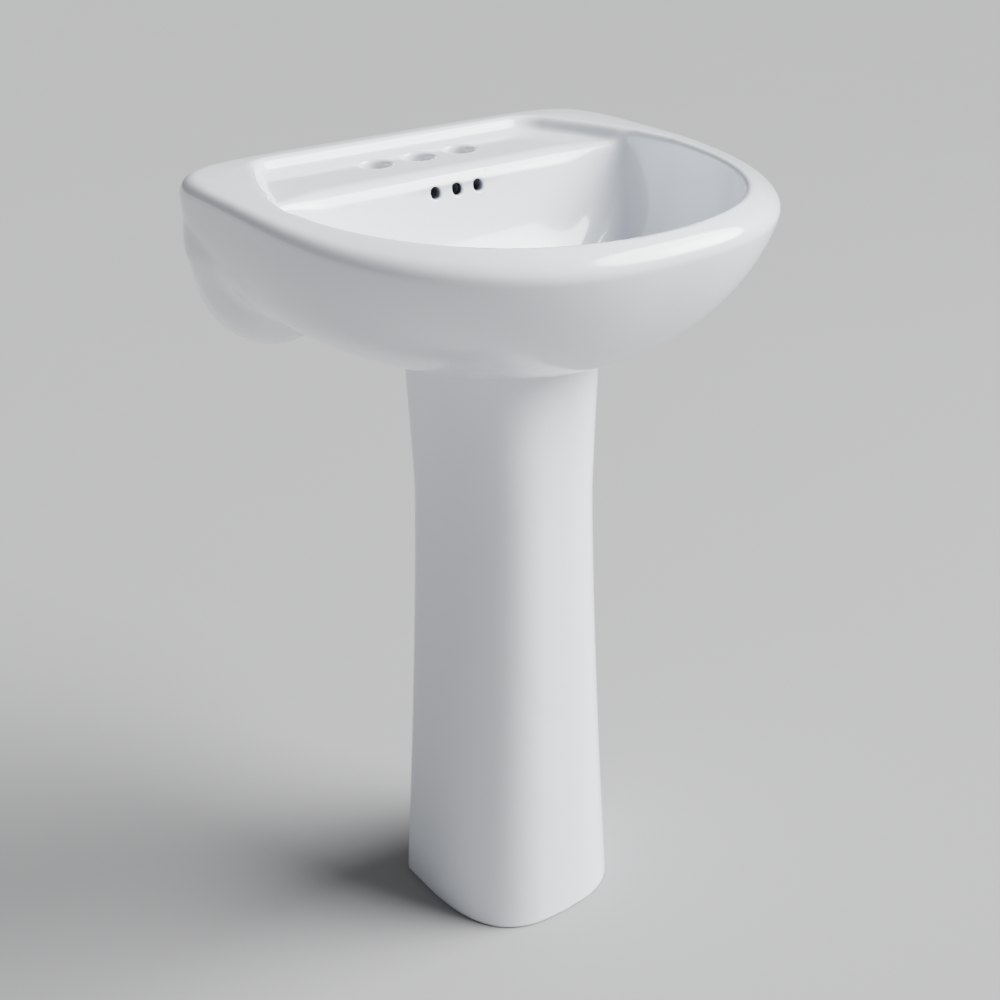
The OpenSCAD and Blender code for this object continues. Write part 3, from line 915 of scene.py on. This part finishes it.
class SINK_OT_stopper(bpy.types.Operator):
    """Builds the push-type stopper: guide barrel, plunger, seal, cap and spring."""
    bl_idname = "sink.stopper"
    bl_label = "Stopper"

    def execute(self, context):
        chrome, brass = material("polished_chrome", context), material("plain_brass", context)
        low, high = node_span("stopper_barrel", 2)
        floor = low + 4
        barrel = [(0, low), (8, low), (8, 660), (9, 661), (9, high), (5.5, high), (5.5, floor), (0, floor)]
        turned_piece("stopper_barrel_turned", barrel, "sink", "plain_brass", ["stopper_barrel"], brass,
                     segments=64, threads=[(8, low + 1, 659, 1.2, 0.35)])
        low, high = node_span("stopper_plunger", 2)
        plunger = [(0, low), (5.45, low), (5.45, 662), (4.9, 662.6), (4.9, 664.4), (5.45, 665), (5.45, 680),
                   (3, 680), (3, high), (0, high)]
        turned_piece("stopper_plunger_turned", plunger, "stopper", "plain_brass", ["stopper_plunger"], brass,
                     radius=0.3, segments=64)

        low, high = node_span("stopper_seal", 2)
        seal = [(18, low), (25, low), (26, low + 1), (25, high), (18, high)]
        turned_piece("stopper_seal_ring", seal, "stopper", "black_rubber", ["stopper_seal"],
                     material("black_rubber", context), radius=0.5)

        cap_low, cap_high = high, node_span("stopper_cap", 2)[1]
        dome = [(29.8 * math.cos(a), cap_low + 2 + (cap_high - cap_low - 2) * math.sin(a))
                for a in np.linspace(0, math.pi / 2, 17)]
        cap = [(0, 690), (3, 690), (3, 680), (8, 680), (8, 686), (14, cap_low), (29, cap_low),
               (29.9, cap_low + 0.7)] + dome[:-1] + [(0, cap_high)]
        turned_piece("stopper_cap_dome", cap, "stopper", "polished_chrome", ["stopper_cap"], chrome,
                     radius=0.5, segments=128)
        self.spring(context)
        return {"FINISHED"}

    def spring(self, context):
        """A coil of round wire with closed ends."""
        low, high = node_span("stopper_spring", 2)
        wire, radius, turns, sides = 0.55, 3.9, 6, 10
        steps = turns * 32
        bm = bmesh.new()
        rings = []
        for k in range(steps + 1):
            share = k / steps
            climb = float(ease((share - 0.06) / 0.88) * 0.35 + 0.65 * np.clip((share - 0.1) / 0.8, 0, 1))
            height = low + wire + (high - low - 2 * wire) * climb
            angle = 2 * math.pi * turns * share
            ring = []
            for j in range(sides):
                around = 2 * math.pi * j / sides
                r = radius + wire * math.cos(around)
                ring.append(bm.verts.new(on_drain(r * math.cos(angle), r * math.sin(angle),
                                                  height + wire * math.sin(around))))
            rings.append(ring)
        for a, b in zip(rings, rings[1:]):
            for j in range(sides):
                bm.faces.new((a[j], a[(j + 1) % sides], b[(j + 1) % sides], b[j]))
        bm.faces.new(rings[0])
        bm.faces.new(list(reversed(rings[-1])))
        mesh = finish_mesh("stopper_spring_coil", bm)
        piece = add_piece("stopper_spring_coil", mesh, "sink", ["stopper_spring"],
                          material("spring_steel", context))
        tuple(on_drain(0, 0, low))
        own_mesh(piece)


class SINK_OT_wall_fixings(bpy.types.Operator):
    """Builds the two wall bolts with their washers and nuts."""
    bl_idname = "sink.wall_fixings"
    bl_label = "Wall fixings"

    def execute(self, context):
        low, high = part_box("wall_bolts")
        height = (low.z + high.z) / 2 * MM
        out = (high.x - low.x) / 2 * MM - 4
        deep = high.y * MM - WALL
        steel, rubber = material("zinc_steel", context), material("black_rubber", context)

        def side(sign):
            return lambda x, y, z: Vector((sign * out + x, WALL - z, height + y)) / MM

        sides = [side(-1), side(1)]
        bolt = [(0, -deep), (1.2, 1.5 - deep), (4, 10 - deep), (4, -1), (3.5, -0.8), (3.5, 12), (3.95, 12.2),
                (3.95, 24), (0, 24)]
        turned_piece("wall_bolts_threaded", bolt, "sink", "zinc_steel", ["wall_bolts"], steel, place=sides,
                     radius=0.25, segments=48,
                     threads=[(4, 8 - deep, -2, 3.0, 0.9), (3.95, 12.4, 24, 1.25, 0.5)])
        at, over = 13, node_span("wall_rubber_washers", 1)
        thick = over[1] - over[0]
        turned_piece("wall_rubber_washer_rings", box_outline(4.3, 15, at, at + thick), "sink", "black_rubber",
                     ["wall_rubber_washers"], rubber, place=sides, radius=0.8)
        at += thick
        turned_piece("wall_steel_washer_rings", box_outline(4.3, 12, at, at + 1.6), "sink", "zinc_steel",
                     ["wall_steel_washers"], steel, place=sides, radius=0.3)
        at += 1.6
        turned_piece("wall_nuts_hex", box_outline(4, 7.5, at, at + 6.8), "sink", "zinc_steel", ["wall_nuts"],
                     steel, place=sides, radius=0.3, hexagon=(15, at, at + 6.8))
        return {"FINISHED"}


class SINK_OT_floor_bushes(bpy.types.Operator):
    """Builds the nylon bushes for the floor screws."""
    bl_idname = "sink.floor_bushes"
    bl_label = "Floor bushes"

    def execute(self, context):
        bush = [(4.5, 0), (6.9, 0), (6.9, 14), (13, 14), (13, 16.5), (6.5, 16.5), (4.5, 15.2)]

        def side(sign):
            return lambda x, y, z: Vector((sign * Pedestal.lug_x + x, WALL - Pedestal.lug_v + y, z)) / MM

        turned_piece("floor_bush_pair", bush, "sink", "white_nylon", ["floor_bushes"],
                     material("white_nylon", context), place=[side(-1), side(1)], radius=0.5, segments=64)
        return {"FINISHED"}


class SINK_OT_stage(bpy.types.Operator):
    """Sets up the floor, the light and the camera."""
    bl_idname = "sink.stage"
    bl_label = "Stage"

    def execute(self, context):
        scene, settings = context.scene, context.scene.sink_stage
        bm = bmesh.new()
        bmesh.ops.create_circle(bm, cap_ends=True, segments=96, radius=30)
        mesh = bpy.data.meshes.new("floor")
        bm.to_mesh(mesh)
        bm.free()
        mesh.materials.append(floor_paint(settings))
        floor = bpy.data.objects.new("floor", mesh)
        floor.location.z = -0.0004
        scene.collection.objects.link(floor)

        world = bpy.data.worlds.new("studio")
        world.use_nodes = True
        background = world.node_tree.nodes["Background"]
        background.inputs["Color"].default_value = (0.94, 0.97, 1.0, 1)
        background.inputs["Strength"].default_value = settings.sky
        scene.world = world

        target = Vector((0, 0, 0.62))
        sun = bpy.data.lights.new("key", "SUN")
        sun.energy, sun.angle = settings.key, math.radians(45)
        key = bpy.data.objects.new("key", sun)
        key.rotation_euler = Vector((0.66, -0.42, 0.62)).to_track_quat("Z", "Y").to_euler()
        scene.collection.objects.link(key)
        self.lamp(scene, "window", (2.3, -1.5, 2.3), target, 1.2, settings.window)

        data = bpy.data.cameras.new("camera")
        data.sensor_width = 36
        data.lens = 51.3
        data.clip_start = 0.05
        camera = bpy.data.objects.new("camera", data)
        scene.collection.objects.link(camera)
        azimuth, height = math.radians(-36.85), math.radians(27.55)
        back = Vector((math.sin(azimuth) * math.cos(height), -math.cos(azimuth) * math.cos(height),
                       math.sin(height)))
        camera.location = (-0.7946, WALL / MM - 1.2774, 1.1655)
        camera.rotation_euler = back.to_track_quat("Z", "Y").to_euler()
        scene.camera = camera
        return {"FINISHED"}

    def lamp(self, scene, name, place, target, size, power):
        data = bpy.data.lights.new(name, "AREA")
        data.shape, data.size, data.energy = "DISK", size, power
        lamp = bpy.data.objects.new(name, data)
        lamp.location = place
        lamp.rotation_euler = (target - Vector(place)).to_track_quat("-Z", "Y").to_euler()
        scene.collection.objects.link(lamp)


class SINK_PT_panel(bpy.types.Panel):
    """Lists the sink's pieces in the sidebar."""
    bl_label = "Pedestal sink"
    bl_idname = "SINK_PT_panel"
    bl_space_type = "VIEW_3D"
    bl_region_type = "UI"
    bl_category = "Sink"

    def draw(self, context):
        layout = self.layout
        for group in ("sink_china", "sink_finish", "sink_stage"):
            box = layout.box()
            settings = getattr(context.scene, group)
            for key in settings.__annotations__:
                box.prop(settings, key)
        for operator in OPERATORS:
            layout.operator(operator.bl_idname)


GROUPS = {"sink_china": SINK_PG_china, "sink_finish": SINK_PG_finish, "sink_stage": SINK_PG_stage}
OPERATORS = (SINK_OT_basin, SINK_OT_pedestal, SINK_OT_cushion, SINK_OT_drain, SINK_OT_gaskets,
             SINK_OT_stopper, SINK_OT_wall_fixings, SINK_OT_floor_bushes, SINK_OT_stage)


def register():
    for cls in (*GROUPS.values(), *OPERATORS, SINK_PT_panel):
        bpy.utils.register_class(cls)
    for name, group in GROUPS.items():
        setattr(bpy.types.Scene, name, PointerProperty(type=group))


def unregister():
    for name in GROUPS:
        delattr(bpy.types.Scene, name)
    for cls in reversed((*GROUPS.values(), *OPERATORS, SINK_PT_panel)):
        bpy.utils.unregister_class(cls)


def main():
    register()
    bpy.ops.sink.basin()
    bpy.ops.sink.pedestal()
    bpy.ops.sink.cushion()
    bpy.ops.sink.drain()
    bpy.ops.sink.gaskets()
    bpy.ops.sink.stopper()
    bpy.ops.sink.wall_fixings()
    bpy.ops.sink.floor_bushes()
    bpy.ops.sink.stage()


if __name__ == "__main__":
    main()
